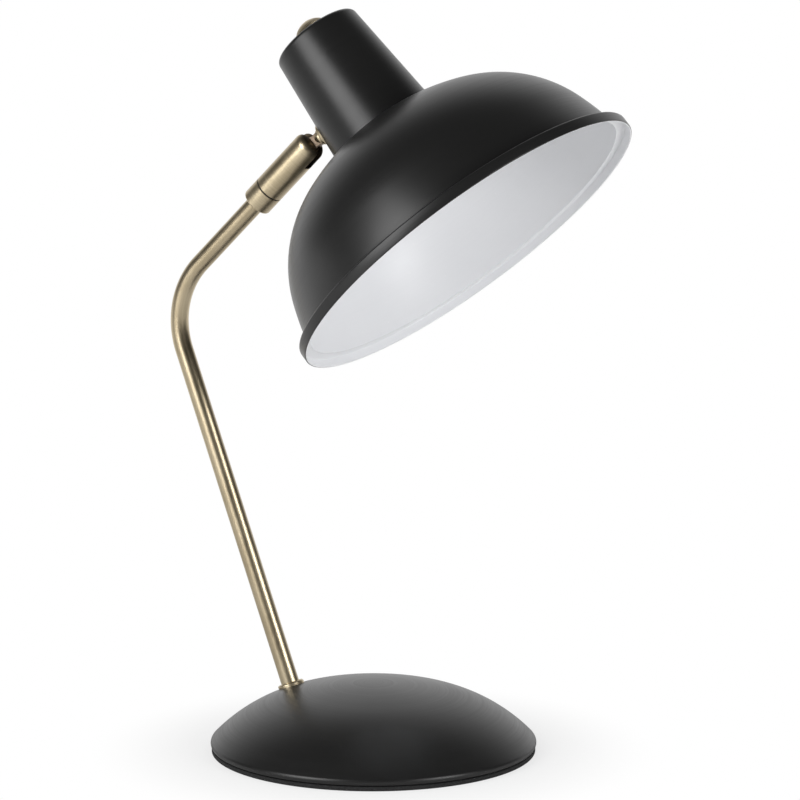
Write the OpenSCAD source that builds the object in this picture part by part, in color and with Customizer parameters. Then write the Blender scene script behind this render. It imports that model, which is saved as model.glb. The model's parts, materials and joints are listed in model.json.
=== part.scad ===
// Desk lamp with a spun dome shade on a bent brass arm and a weighted dome base.
// The origin is the centre of the underside of the foot pad, +Z is up, and the arm, the hinge
// and the shade all lie in the XZ plane, with the shade reaching out towards +X.

/* [Base] */
// Outer diameter of the base cover
base_d = 169; // [150:1:200]
// Height of the base over the table
base_h = 35.5; // [32:0.5:42]
// Wall of the spun base cover
base_wall = 1.5; // [1:0.1:2]
// Radius of the rolled edge of the base cover
base_edge_r = 2.5; // [2.2:0.1:3]
// Slope at which the flat crown of the base runs into its shoulder
base_crown_a = 14; // [11:0.5:17]
// Slope at which the shoulder of the base runs into its edge
base_shoulder_a = 45.5; // [43:0.5:50]
// Thickness of the foam foot pad
pad_t = 2.2; // [1.5:0.1:3]
// Height of the dark groove between the foot pad and the base cover
groove_h = 0.8; // [0.4:0.1:1.2]
// Depth of that groove
groove_depth = 2; // [1:0.1:2.5]
// Height of the cast weight over the foot pad
weight_h = 13.5; // [10:0.5:14]
// Diameter of the stud that clamps cover and weight
stud_d = 8; // [6:1:10]
// Diameter of the flexible cord that the gland is made for
cord_d = 6; // [5:0.1:7]

/* [Arm] */
// Outside diameter of the arm tube
tube_d = 9.5; // [8:0.1:11]
// Wall of the arm tube
tube_wall = 1; // [0.8:0.1:1.2]
// Distance of the arm's foot from the middle of the base
foot_x = 50; // [45:1:56]
// Lean of the lower leg, from upright
lower_lean = 20.5; // [15:0.5:24]
// Length of the lower leg, from the base cover to the corner of the bend
lower_len = 213.5; // [180:0.5:260]
// Radius of the bend, on the tube's middle line
bend_r = 43; // [30:1:55]
// Rise of the upper leg, from level
upper_pitch = 44; // [38:0.5:50]
// Length of the upper leg, from the corner of the bend to the hinge pin
upper_len = 118.7; // [105:0.1:145]
// Diameter of the ring that covers the arm's hole in the base
collar_d = 13.8; // [12.6:0.1:16]
// Height of that ring
collar_h = 1.7; // [1.4:0.1:2.6]
// Radius of that ring's rounded upper edge
collar_edge_r = 1; // [0.8:0.1:1.2]

/* [Swivel and hinge] */
// Diameter of the knuckle and its sleeve
knuckle_d = 16; // [15:0.5:19]
// Length of the sleeve on the arm
sleeve_len = 10.6; // [10:0.1:13]
// Length of the knuckle, from the seam to its rounded end
knuckle_len = 37.5; // [36:0.1:46]
// Radius of the knuckle's rounded end
knuckle_end_r = 5; // [3:0.1:5]
// Distance of the hinge pin from the knuckle's end
pin_to_end = 6.8; // [6:0.1:9]
// Width of the slot in the knuckle
slot_w = 6; // [5.6:0.1:6.8]
// Diameter of the hinge screw's shank
pin_d = 4; // [3:0.1:4.4]
// Diameter of the knuckle's spigot in the sleeve
spigot_d = 8.4; // [8:0.1:9]
// Swivel of the knuckle on the sleeve, to each side
swivel_a = 165; // [120:1:165]
// Height of the tilting tongue
tongue_h = 6.4; // [5.6:0.1:7.2]
// Length of the tongue, from the pin to the dished washer
tongue_len = 12.6; // [11.5:0.1:15]
// Diameter of the dished washer
rosette_d = 14; // [12:0.1:15.5]
// Thickness of the dished washer, at its middle
rosette_t = 2.9; // [2.4:0.05:4]

/* [Head] */
// Dip of the shade's axis, below level
shade_dip = 48.7; // [45:0.1:60]
// Diameter of the neck at its closed top
neck_top_d = 47.2; // [45:0.1:57]
// Diameter of the neck at its foot on the shade
neck_foot_d = 57; // [54:0.1:69]
// Height of the neck, from its top to the crown of the shade
neck_h = 57.5; // [55:0.1:69]
// Distance of the hinge below the neck's top
hinge_below_top = 39.5; // [36:0.1:42]
// Wall of the neck
neck_wall = 1.2; // [0.8:0.1:1.4]
// Radius of the neck's top edge
neck_edge_r = 2.5; // [2:0.1:4]
// Outer diameter of the shade's rim
shade_d = 200; // [170:1:240]
// Width of the flat ledge behind the rim
ledge_w = 5.2; // [3:0.1:6]
// Height of the rim's upright lip
lip_h = 4.6; // [4:0.1:6]
// Depth of the shade, from its crown to the edge of the lip
shade_depth = 78.1; // [65:0.1:94]
// Wall of the spun shade
shade_wall = 1.2; // [0.8:0.1:1.5]
// Slope at which the shade's crown runs into its shoulder
shade_crown_a = 26.2; // [22:0.1:30]
// Slope at which the shade's shoulder runs into its side
shade_shoulder_a = 70.9; // [68:0.1:73]
// Slope of the shade's side at the ledge
shade_side_a = 79.5; // [77:0.1:84]
// Radius of the bow in the shade's side
shade_side_r = 153; // [110:1:200]

/* [Lampholder and switch] */
// Outside diameter of the lampholder
holder_d = 38; // [37:0.1:38.6]
// Bore of the screw shell for the lamp's cap
shell_bore = 26.8; // [26:0.1:27.4]
// Length of the screw shell
shell_len = 23; // [20:0.5:24]
// How far the lampholder's mouth stands in the shade, below the crown
mouth_drop = 12; // [9:0.5:15]
// Outside diameter of the ring that clamps the shade
ring_d = 54; // [46:1:60]
// Diameter of the threaded bushing through the neck's top
bushing_d = 10; // [9:0.1:11]
// Diameter of the switch knob
knob_d = 19; // [17:0.1:24]
// Height of the knob's reeded side
knob_side_h = 4; // [3:0.1:6]
// Height of the knob's domed top
knob_crown_h = 4.6; // [2:0.1:5]
// Number of reeds round the knob
knob_reeds = 76; // [48:2:90]
// Diameter of the switch's shaft
shaft_d = 5; // [4:0.1:5.6]

/* [Hidden] */

$fn = 128;
fine = 512; // facets of a large ball that a small piece is fitted to
black = [0.12, 0.12, 0.12];
white = [0.9, 0.91, 0.93];
brass = [0.62, 0.55, 0.42];
steel = [0.6, 0.61, 0.62];
iron = [0.25, 0.25, 0.26];
rubber = [0.08, 0.08, 0.08];
plastic = [0.1, 0.1, 0.1];
far = 400; // reach of a cutting shape past everything
lap = 1; // reach of a cutting shape past the face it cuts

// Fits
run_gap = 0.05; // radial gap of a shaft that turns in its hole
seat_gap = 0.05; // gap between flat faces that slide on each other
free_gap = 0.3; // gap that keeps moving pieces apart
hole_gap = 0.2; // radial gap of a tube or screw that passes through a hole

// A dome's outline is a chain of arcs, each tangent to the next at a given slope. Its first two
// radii follow from its width and depth, less what the last arc takes of them.
function two_radii(w, h, a1, a2) =
    let (
        p = sin(a1), q = sin(a2) - sin(a1), s = 1 - cos(a1), t = cos(a1) - cos(a2),
        d = p * t - q * s
    )
    [(w * t - q * h) / d, (p * h - s * w) / d];
function slope_dir(a) = [sin(a), cos(a)];
// Middle of each arc in the chain, for a crown at height top
function arc_mids(top, r, a) =
    let (
        m1 = [0, top - r[0]],
        m2 = m1 + (r[0] - r[1]) * slope_dir(a[0]),
        m3 = m2 + (r[1] - r[2]) * slope_dir(a[1])
    )
    [m1, m2, m3];
// Height of the chain of arcs at the radius x, on its first two arcs
function chain_z(x, mids, r, a) =
    x < r[0] * sin(a[0])
        ? mids[0][1] + sqrt(r[0] ^ 2 - x ^ 2)
        : mids[1][1] + sqrt(r[1] ^ 2 - (x - mids[1][0]) ^ 2);

// Base
base_r = base_d / 2;
edge_z = pad_t + groove_h; // lower edge of the base cover
roll_z = edge_z + base_edge_r * 0.55; // middle of the rolled edge
base_rr = two_radii(base_r - base_edge_r * (1 - sin(base_shoulder_a)),
    base_h - roll_z - base_edge_r * cos(base_shoulder_a), base_crown_a, base_shoulder_a);
base_radii = [base_rr[0], base_rr[1], base_edge_r];
base_slopes = [base_crown_a, base_shoulder_a, 135];
base_mids = arc_mids(base_h, base_radii, base_slopes);
pad_r = base_r - 0.5;
flange_r = pad_r - groove_depth; // the weight's rim, at the bottom of the groove
return_w = 5; // width of the flange turned in under the base cover
weight_r = base_r - base_edge_r - return_w - 0.5;
weight_top = pad_t + weight_h;
weight_bevel = 18; // width of the weight's sloping shoulder
weight_drop = 9; // height of that shoulder
channel_floor = edge_z + 0.5; // floor of the cord's channel in the weight
pocket_floor = edge_z + 2; // floor of the pit under the arm
stud_r = stud_d / 2;
nut_pocket_r = stud_d * 1.4;
nut_pocket_h = 7;
washer_r = nut_pocket_r - 1;
washer_t = 1.5;
nut_flats = 1.6; // width of a nut over its thread
stud_nut_h = 4.5;
stud_end = pad_t + 0.5;
stud_foot_r = stud_d; // welded foot of the stud
stud_foot_t = 1.5;
gland_gap = 0.1; // round the cord, and between the gland and the cover's hole
gland_r = cord_d / 2 + gland_gap;
gland_wall = 1.3;
gland_len = 12;
gland_z = edge_z + gland_r + gland_wall + 0.7;
gland_lip = 1.2; // how far the gland's flange reaches round it
gland_proud = 0.6; // how far the flange stands over the cover

// Arm
tube_r = tube_d / 2;
foot = [-foot_x, 0, chain_z(foot_x, base_mids, base_radii, base_slopes)];
foot_slope = asin((foot_x - base_mids[1][0]) / base_radii[1]);
bend_turn = 90 + lower_lean - upper_pitch;
bend_reach = bend_r * tan(bend_turn / 2); // from the corner to where the bend starts
corner = foot + lower_len * [-sin(lower_lean), 0, cos(lower_lean)];
pin = corner + upper_len * [cos(upper_pitch), 0, sin(upper_pitch)];
foot_nut_h = 5;
foot_washer_w = 4.5; // width of the washer's ring
foot_washer_t = 2.2;
thread_end = 4; // thread left under the nut
tube_tail = base_wall + foot_washer_t + foot_nut_h + thread_end; // end of the tube under the cover
foot_pocket_r = 13;
foot_pocket_x = tube_tail * sin(lower_lean) - foot_x;

// Knuckle, measured along the upper leg from the hinge pin
knuckle_r = knuckle_d / 2;
seam_z = pin_to_end - knuckle_len; // lower face of the knuckle
fibre_t = 0.4; // fibre washer that shows as a dark seam
sleeve_top = seam_z - fibre_t;
sleeve_foot = sleeve_top - sleeve_len;
sleeve_web = 3.2; // end wall of the sleeve, that the spigot turns in
sleeve_bore_r = 6.6;
sleeve_edge_r = 1; // rounded lower edge of the sleeve
bush_len = 4;
swivel_nut_w = 11;
swivel_nut_h = 2.6;
spigot_r = spigot_d / 2;
spigot_end = sleeve_top - sleeve_web - seat_gap - swivel_nut_h - hole_gap;
wire_r = 2.6; // bore for the wires
slot_floor = -6;
stop_pin_r = 0.6;
stop_ring_r = 6.1; // radius on which the stop pin travels
stop_depth = 1.6;
stop_gap = 0.15; // play of the stop pin in its groove
stop_play_a = 0.5; // turn left past the range before the pin meets the groove's end
fibre_gap = 0.1; // how far the fibre washer stays back
eye_r = 5.4;
tongue_w = 5;
disc_t = (slot_w - tongue_w) / 2 - 2 * seat_gap;
screw_head_r = 3.4;
screw_head_h = 2;
head_sink = 0.6; // how deep the head lies in the cheek
head_z = knuckle_r - screw_head_h - head_sink;
head_gap = 0.1;
screw_gap = 0.02; // radial gap of the screw in the cheeks
screw_slot = 0.8; // width and depth of the head's slot
blind_skin = 1.4; // wall left over the hinge screw's blind end
stem_r = 3.8;
shoulder_r = 4.5; // round shoulder of the tongue, on the dished washer
shoulder_h = 1.6;
stem_bore_r = 1.6;
wire_hole_r = 1.36;
wire_hole_z = eye_r + 0.8; // where the wires leave the tongue
rosette_dome_r = 0.9 * rosette_d;
saddle_w = 2.6; // width of the inner washer's ring
saddle_t = 1.8;
wall_drop = 1.5; // how far the neck falls away under the edge of the dished washer
tongue_nut_w = 12;
tongue_nut_h = 2.8;

// Head, measured along the shade's axis from the point level with the hinge pin
neck_top = -hinge_below_top;
neck_rate = (neck_foot_d - neck_top_d) / 2 / neck_h;
neck_tilt = atan(neck_rate); // how far the neck's side leans from its axis
neck_side_r = neck_top_d / 2 + neck_rate * hinge_below_top;
crown_z = neck_top + neck_h;
pin_to_axis = (tongue_len + rosette_t) / cos(neck_tilt) + neck_side_r;
saddle_z = tongue_len + rosette_t + neck_wall; // inside of the neck's wall, from the pin
stem_end = pin_to_axis - holder_d / 2 - 1;
neck_skirt = 8; // reach of the neck past the crown, before the shade cuts it
head = pin + pin_to_axis * [sin(shade_dip), 0, cos(shade_dip)];
shade_r = shade_d / 2;
lip_z = crown_z + shade_depth;
ledge_z = lip_z - lip_h;
side_end_r = shade_r - ledge_w;
shade_rr = two_radii(
    side_end_r - shade_side_r * (sin(shade_side_a) - sin(shade_shoulder_a)),
    ledge_z - crown_z - shade_side_r * (cos(shade_shoulder_a) - cos(shade_side_a)),
    shade_crown_a, shade_shoulder_a);
shade_radii = [shade_rr[0], shade_rr[1], shade_side_r];
shade_slopes = [shade_crown_a, shade_shoulder_a, 100];
shade_mids = arc_mids(-crown_z, shade_radii, shade_slopes);
lip_round_r = 1;

// Lampholder and switch
holder_r = holder_d / 2;
mouth_z = crown_z + mouth_drop;
shell_r = shell_bore / 2;
shell_wall = 0.6;
shell_gap = 0.1;
shell_inset = 2.5; // from the lampholder's mouth to the shell
shell_top = mouth_z - shell_inset - shell_len;
shell_hole_r = 5;
contact_r = 3.4;
contact_w = 3.6;
contact_hole_r = 4;
holder_floor = shell_top - 4;
cap_z = holder_floor - 6; // where the lampholder's cap is screwed on
cap_top = neck_top + neck_wall;
cap_neck_r = 9;
cap_wall = 2.5;
cap_neck_h = 2;
cap_top_h = 8; // height over which the cap widens
cap_r = holder_r - 2;
bushing_r = bushing_d / 2;
bushing_top = neck_top - 2.2;
thin_nut_h = 2;
thin_nut_flats = 1.35;
ring_r = ring_d / 2;
ring_flange_t = 2.5;
ring_collar_h = 5.5;
ring_skirt = 3; // height of the ring's foot on the shade
ring_wall = 2.4;
knob_r = knob_d / 2;
knob_foot = neck_top - 0.6;
knob_edge = knob_foot - knob_side_h;
knob_top = knob_edge - knob_crown_h;
knob_recess_r = bushing_r + 3.2;
knob_recess_h = 2.2;
knob_step = 0.5; // from the reeds to the edge of the domed top
shaft_end = knob_edge - 0.6;
shaft_r = shaft_d / 2;
reed_depth = 0.3;

// The gland's pieces lie along +Z, inwards from the rear of the base
module at_gland() {
    translate([-base_r, 0, gland_z]) rotate([0, 90, 0]) children();
}

// The pieces on the lower leg stand along +Z from the base cover
module at_foot() {
    translate(foot) rotate([0, -lower_lean, 0]) children();
}

// The knuckle's pieces lie along +Z on the upper leg, from the hinge pin
module at_pin() {
    translate(pin) rotate([0, 90 - upper_pitch, 0]) children();
}

// The head's pieces lie along +Z on the shade's axis, with the hinge towards +X
module at_head() {
    translate(head) rotate([0, 90 + shade_dip, 0]) children();
}

// The tongue's pieces lie along +Z from the hinge pin, square to the neck's side
module at_tongue() {
    translate(pin) rotate([0, shade_dip + neck_tilt, 0]) children();
}

module ring(r_out, r_in, z0, z1) {
    difference() {
        translate([0, 0, z0]) cylinder(r = r_out, h = z1 - z0);
        translate([0, 0, z0 - lap]) cylinder(r = r_in, h = z1 - z0 + 2 * lap);
    }
}

module rod(r, z0, z1) {
    translate([0, 0, z0]) cylinder(r = r, h = z1 - z0);
}

module hex(flats, z0, z1) {
    translate([0, 0, z0]) cylinder(r = flats / sqrt(3), h = z1 - z0, $fn = 6);
}

// Part of a disc between two slopes
module slice(mid, r, a0, a1) {
    intersection() {
        translate(mid) circle(r);
        translate(mid) polygon([
            [0, 0], far * slope_dir(a0), 2 * far * slope_dir((a0 + a1) / 2), far * slope_dir(a1)
        ]);
    }
}

// Half section inside a chain of arcs, drawn in by inset, down to the height low. A tighter arc
// lies inside its wider neighbour, so its slice is let into that one by a few degrees.
module chain_section(mids, radii, slopes, inset, low) {
    let_in = 5;
    intersection() {
        union() {
            slice(mids[0], radii[0] - inset, 0, slopes[0]);
            slice(mids[1], radii[1] - inset, slopes[0] - let_in,
                slopes[1] + (radii[1] < radii[2] ? let_in : 0));
            slice(mids[2], radii[2] - inset, slopes[1] - (radii[1] < radii[2] ? 0 : let_in), slopes[2]);
        }
        translate([0, low]) square([far, far]);
    }
}

module base_section(inset, low) {
    chain_section(base_mids, base_radii, base_slopes, inset, low);
}

module shade_section(inset) {
    mirror([0, 1]) chain_section(shade_mids, shade_radii, shade_slopes, inset, -ledge_z);
}

// Everything under the base cover's face, drawn in by inset
module base_fill(inset) {
    rotate_extrude() base_section(inset, 0);
}

module foot_pad() {
    color(rubber) cylinder(r = pad_r, h = pad_t);
}

// Cast disc with a rim that the cover stands on, a pocket for the clamp nut, a pit for the arm's
// foot and a channel that takes the cord from the gland to that pit
module base_weight() {
    color(iron) difference() {
        rotate_extrude() polygon([
            [0, pad_t], [flange_r, pad_t], [flange_r, edge_z], [weight_r, edge_z],
            [weight_r, weight_top - weight_drop], [weight_r - weight_bevel, weight_top],
            [0, weight_top]
        ]);
        rod(stud_r + hole_gap, 0, weight_top + lap);
        rod(nut_pocket_r, 0, pad_t + nut_pocket_h);
        translate([foot_pocket_x, 0, 0]) rod(foot_pocket_r, pocket_floor, weight_top + lap);
        translate([-base_r, -gland_r - gland_wall, channel_floor])
            cube([base_r - foot_x, 2 * (gland_r + gland_wall), weight_top]);
    }
}

// Spun cover with a flange turned in at its foot
module base_dome() {
    color(black) difference() {
        rotate_extrude() {
            difference() {
                base_section(0, edge_z);
                base_section(base_wall, edge_z);
                square([base_r - base_edge_r, roll_z]);
            }
            translate([base_r - base_edge_r - return_w, edge_z])
                square([return_w + base_edge_r / 2, base_wall]);
        }
        at_foot() rod(tube_r + hole_gap, -2 * tube_tail, 2 * tube_tail);
        at_gland() rod(gland_r + gland_wall, -lap, base_r - foot_x);
    }
}

module clamp_stud() {
    color(steel) intersection() {
        union() {
            rod(stud_r, stud_end, base_h);
            rod(stud_foot_r, base_h - base_wall - stud_foot_t, base_h);
        }
        base_fill(base_wall);
    }
}

module stud_washer() {
    top = pad_t + nut_pocket_h;
    color(steel) ring(washer_r, stud_r + hole_gap, top - washer_t, top);
}

module stud_nut() {
    top = pad_t + nut_pocket_h - washer_t;
    color(steel) difference() {
        hex(nut_flats * stud_d, top - stud_nut_h, top);
        rod(stud_r, 0, base_h);
    }
}

// Rubber bushing, flush with the cover but for a low flange round it
module cord_grommet() {
    color(rubber) difference() {
        intersection() {
            at_gland() union() {
                rod(gland_r + gland_wall - gland_gap, 0, gland_len);
                rod(gland_r + gland_wall + gland_lip, 0, gland_len / 2);
            }
            base_fill(-gland_proud);
            union() {
                at_gland() rod(gland_r + gland_wall - gland_gap, 0, gland_len);
                difference() {
                    translate([-far, -far / 2, edge_z]) cube([far, far, far]);
                    base_fill(0);
                }
            }
        }
        at_gland() rod(gland_r, -lap, 2 * gland_len);
    }
}

// Turned ring, hollowed underneath to the curve of the cover
module arm_collar() {
    collar_r = collar_d / 2;
    color(brass) difference() {
        at_foot() rotate_extrude() difference() {
            union() {
                translate([0, -collar_h]) square([collar_r - collar_edge_r, 2 * collar_h]);
                translate([0, -collar_h]) square([collar_r, 2 * collar_h - collar_edge_r]);
                translate([collar_r - collar_edge_r, collar_h - collar_edge_r]) circle(collar_edge_r);
            }
            translate([0, -2 * collar_h]) square([tube_r + hole_gap / 2, 4 * collar_h]);
        }
        translate([0, 0, foot[2] - foot_x / tan(foot_slope)]) sphere(foot_x / sin(foot_slope), $fn = fine);
    }
}

// Two straight legs and a bend, each of them already hollow
module arm_tube() {
    bore_r = tube_r - tube_wall;
    upper_straight = upper_len - bend_reach + sleeve_foot + bush_len;
    color(brass) at_foot() translate([0, 0, lower_len - bend_reach]) union() {
        ring(tube_r, bore_r, bend_reach - lower_len - tube_tail, 0);
        translate([bend_r, 0, 0]) rotate([90, 0, 0]) intersection() {
            rotate_extrude() translate([bend_r, 0]) difference() {
                circle(tube_r);
                circle(bore_r);
            }
            linear_extrude(4 * tube_r, center = true) polygon([
                [0, 0], [-far, 0], 2 * far * [-cos(bend_turn / 2), sin(bend_turn / 2)],
                far * [-cos(bend_turn), sin(bend_turn)]
            ]);
        }
        translate([bend_r, 0, 0]) rotate([0, bend_turn, 0]) translate([-bend_r, 0, 0])
            ring(tube_r, bore_r, 0, upper_straight);
    }
}

// Washer with its upper face rounded to the inside of the cover
module arm_foot_washer() {
    color(steel) intersection() {
        at_foot() ring(tube_r + foot_washer_w, tube_r + hole_gap / 2, -base_wall - foot_washer_t, 0);
        translate([-base_mids[1][0], 0, base_mids[1][1]]) sphere(base_radii[1] - base_wall, $fn = fine);
    }
}

module arm_foot_nut() {
    top = -base_wall - foot_washer_t;
    color(steel) at_foot() difference() {
        hex(nut_flats * tube_d, top - foot_nut_h, top);
        rod(tube_r, top - 2 * foot_nut_h, 0);
    }
}

// Ring on the end of the tube, that screws into the sleeve
module arm_bush() {
    color(brass) at_pin() ring(sleeve_bore_r, tube_r, sleeve_foot + hole_gap, sleeve_foot + bush_len);
}

// Fixed barrel on the arm: the knuckle's spigot turns in its end wall, and an arc cut in its top
// stops the knuckle before the wires are twisted
module swivel_sleeve() {
    groove_w = 2 * (stop_pin_r + stop_gap);
    stop_a = asin(stop_pin_r / stop_ring_r) + stop_play_a;
    color(brass) at_pin() difference() {
        rotate_extrude() {
            translate([0, sleeve_foot + sleeve_edge_r])
                square([knuckle_r, sleeve_len - sleeve_edge_r]);
            translate([0, sleeve_foot]) square([knuckle_r - sleeve_edge_r, sleeve_len]);
            translate([knuckle_r - sleeve_edge_r, sleeve_foot + sleeve_edge_r]) circle(sleeve_edge_r);
        }
        rod(sleeve_bore_r, sleeve_foot - lap, sleeve_top - sleeve_web);
        rod(spigot_r + run_gap, sleeve_foot, sleeve_top + lap);
        translate([0, 0, sleeve_top - stop_depth]) rotate([0, 0, -swivel_a - stop_a])
            rotate_extrude(angle = 2 * (swivel_a + stop_a))
                translate([stop_ring_r - groove_w / 2, 0]) square([groove_w, 2 * stop_depth]);
    }
}

module swivel_washer() {
    color(rubber) at_pin() difference() {
        ring(knuckle_r - fibre_gap, spigot_r + run_gap, sleeve_top + seat_gap / 2, seam_z);
        translate([stop_ring_r, 0, 0]) rod(stop_pin_r + fibre_gap, sleeve_top - lap, seam_z + lap);
    }
}

// Slotted knuckle with a rounded end. The hinge screw goes in from its +Y cheek and ends blind in
// the other, and its spigot turns in the sleeve.
module knuckle_fork() {
    end_z = pin_to_end;
    color(brass) at_pin() difference() {
        union() {
            rotate_extrude() {
                translate([0, seam_z]) square([knuckle_r, knuckle_len - knuckle_end_r]);
                translate([0, seam_z]) square([knuckle_r - knuckle_end_r, knuckle_len]);
                intersection() {
                    translate([knuckle_r - knuckle_end_r, end_z - knuckle_end_r]) circle(knuckle_end_r);
                    square([far, far]);
                }
            }
            rod(spigot_r, spigot_end, seam_z + lap);
        }
        rod(wire_r, spigot_end - lap, 0);
        translate([-knuckle_r - lap, -slot_w / 2, slot_floor])
            cube([2 * (knuckle_r + lap), slot_w, knuckle_len]);
        rotate([90, 0, 0]) rod(pin_d / 2 + screw_gap, -knuckle_d, knuckle_r - blind_skin);
        rotate([-90, 0, 0]) rod(screw_head_r + head_gap, head_z, knuckle_d);
        translate([stop_ring_r, 0, 0]) rod(stop_pin_r, seam_z - lap, seam_z + 2 * stop_depth);
    }
}

module swivel_nut() {
    top = sleeve_top - sleeve_web - seat_gap;
    color(brass) at_pin() difference() {
        hex(swivel_nut_w, top - swivel_nut_h, top);
        rod(spigot_r, top - 2 * swivel_nut_h, top + lap);
    }
}

module swivel_stop_pin() {
    color(steel) at_pin() translate([stop_ring_r, 0, 0])
        rod(stop_pin_r, sleeve_top - stop_depth + free_gap, seam_z + 2 * stop_depth);
}

module hinge_screw() {
    color(brass) at_pin() rotate([-90, 0, 0]) difference() {
        union() {
            rod(pin_d / 2, free_gap + blind_skin - knuckle_r, head_z + lap);
            rod(screw_head_r, head_z, head_z + screw_head_h);
        }
        translate([-knuckle_r, -screw_slot / 2, head_z + screw_head_h - screw_slot])
            cube([knuckle_d, screw_slot, lap]);
    }
}

module hinge_washers() {
    color(steel) at_pin() for (side = [0, 1]) mirror([0, side, 0]) rotate([-90, 0, 0])
        ring(eye_r - hole_gap, pin_d / 2 + hole_gap / 2, tongue_w / 2 + seat_gap, slot_w / 2 - seat_gap);
}

// Flat tongue with a round eye on the hinge screw and a hollow stem through the neck's wall. The
// wires go up the stem and leave it by a hole inside the slot.
module tilt_tongue() {
    color(brass) at_tongue() difference() {
        union() {
            rotate([90, 0, 0]) rod(eye_r, -tongue_w / 2, tongue_w / 2);
            translate([-tongue_h / 2, -tongue_w / 2, 0]) cube([tongue_h, tongue_w, tongue_len]);
            rod(shoulder_r, tongue_len - shoulder_h, tongue_len);
            rod(stem_r, tongue_len - shoulder_h, stem_end);
        }
        rotate([90, 0, 0]) rod(pin_d / 2 + run_gap, -tongue_w, tongue_w);
        rod(stem_bore_r, wire_hole_z - wire_hole_r, stem_end + lap);
        translate([0, 0, wire_hole_z]) rotate([0, 90, 0]) rod(wire_hole_r, 0, tongue_h);
    }
}

// Half section of the neck's outside, drawn in by inset
module neck_section(inset) {
    edge = neck_edge_r - inset;
    top = neck_top + inset;
    wall_shift = inset / cos(neck_tilt);
    edge_x = neck_top_d / 2 + neck_rate * neck_edge_r - neck_edge_r / cos(neck_tilt);
    edge_mid = [edge_x, neck_top + neck_edge_r];
    intersection() {
        union() {
            polygon([
                [0, top + edge], edge_mid, edge_mid + edge * [cos(neck_tilt), -sin(neck_tilt)],
                [neck_top_d / 2 + neck_rate * (neck_h + far / 4) - wall_shift, neck_top + neck_h + far / 4],
                [0, neck_top + neck_h + far / 4]
            ]);
            translate([0, top]) square([edge_mid[0], edge + lap]);
            translate(edge_mid) circle(edge);
        }
        translate([0, -far / 2]) square([far, far]);
    }
}

module neck_fill(inset) {
    rotate_extrude() difference() {
        neck_section(inset);
        translate([0, mouth_z]) square([far, far]);
    }
}

module neck_cup() {
    color(black) at_head() difference() {
        rotate_extrude() difference() {
            neck_section(0);
            neck_section(neck_wall);
            shade_section(0);
            translate([0, crown_z + neck_skirt]) square([far, far]);
        }
        rod(bushing_r + hole_gap / 2, neck_top - lap, 0);
        translate([pin_to_axis, 0, 0]) rotate([0, neck_tilt - 90, 0])
            rod(stem_r + hole_gap / 2, 0, pin_to_axis);
    }
}

// Domed washer, flat on top for the tongue's shoulder and hollowed to the neck underneath
module rosette_washer() {
    color(brass) difference() {
        at_tongue() intersection() {
            ring(rosette_d / 2, stem_r + run_gap, tongue_len, tongue_len + rosette_t + wall_drop);
            translate([0, 0, tongue_len + sqrt(rosette_dome_r ^ 2 - shoulder_r ^ 2)])
                sphere(rosette_dome_r);
        }
        at_head() neck_fill(0);
    }
}

module saddle_washer() {
    color(steel) intersection() {
        at_tongue() ring(stem_r + saddle_w, stem_r + run_gap, saddle_z, saddle_z + saddle_t);
        at_head() neck_fill(neck_wall);
    }
}

module tongue_nut() {
    z0 = saddle_z + saddle_t;
    color(steel) at_tongue() difference() {
        hex(tongue_nut_w, z0, z0 + tongue_nut_h);
        rod(stem_r, z0 - lap, z0 + tongue_nut_h + lap);
    }
}

// Spun dome with a stepped rim: a flat ledge and an upright lip
module shade_dome() {
    color(black) at_head() rotate_extrude() difference() {
        union() {
            difference() {
                shade_section(0);
                shade_section(shade_wall);
            }
            translate([side_end_r - shade_wall, ledge_z - shade_wall])
                square([ledge_w + shade_wall - lip_round_r, shade_wall]);
            translate([shade_r - shade_wall, ledge_z - shade_wall + lip_round_r])
                square([shade_wall, lip_h + shade_wall - lip_round_r]);
            intersection() {
                translate([shade_r - lip_round_r, ledge_z - shade_wall + lip_round_r]) circle(lip_round_r);
                translate([shade_r - lip_round_r, 0]) square([lip_round_r, far]);
            }
        }
        square([holder_r + hole_gap, crown_z + shade_depth / 3]);
    }
}

// Moulded barrel that holds the screw shell and carries the thread of the clamping ring
module lampholder_body() {
    color(plastic) at_head() difference() {
        rod(holder_r, cap_z, mouth_z);
        rod(shell_r + shell_wall + shell_gap, shell_top, mouth_z + lap);
        rod(contact_hole_r, holder_floor, shell_top + lap);
    }
}

// Moulded cap over the switch, with the threaded bushing that goes through the neck's top
module holder_cap() {
    color(plastic) at_head() difference() {
        union() {
            rotate_extrude() polygon([
                [0, cap_top], [cap_neck_r, cap_top], [cap_neck_r, cap_top + cap_neck_h],
                [cap_r, cap_top + cap_top_h], [cap_r, cap_z], [0, cap_z]
            ]);
            rod(bushing_r, bushing_top, cap_top + lap);
        }
        rod(cap_r - cap_wall, cap_top + cap_top_h + lap, cap_z + lap);
        rod(shaft_r + run_gap, bushing_top - lap, cap_z);
    }
}

// Threaded cup of the lampholder
module screw_shell() {
    color(brass) at_head() difference() {
        rod(shell_r + shell_wall, shell_top, shell_top + shell_len);
        rod(shell_r, shell_top + shell_wall, shell_top + shell_len + lap);
        rod(shell_hole_r, shell_top - lap, shell_top + lap);
    }
}

// Contact under the lamp's cap, at the height that the cap presses it down to
module centre_contact() {
    color(brass) at_head() {
        rod(contact_r, holder_floor, shell_top);
        translate([-contact_w / 2, -contact_w / 2, shell_top - lap])
            cube([contact_w, contact_w, lap + shell_wall]);
    }
}

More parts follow.
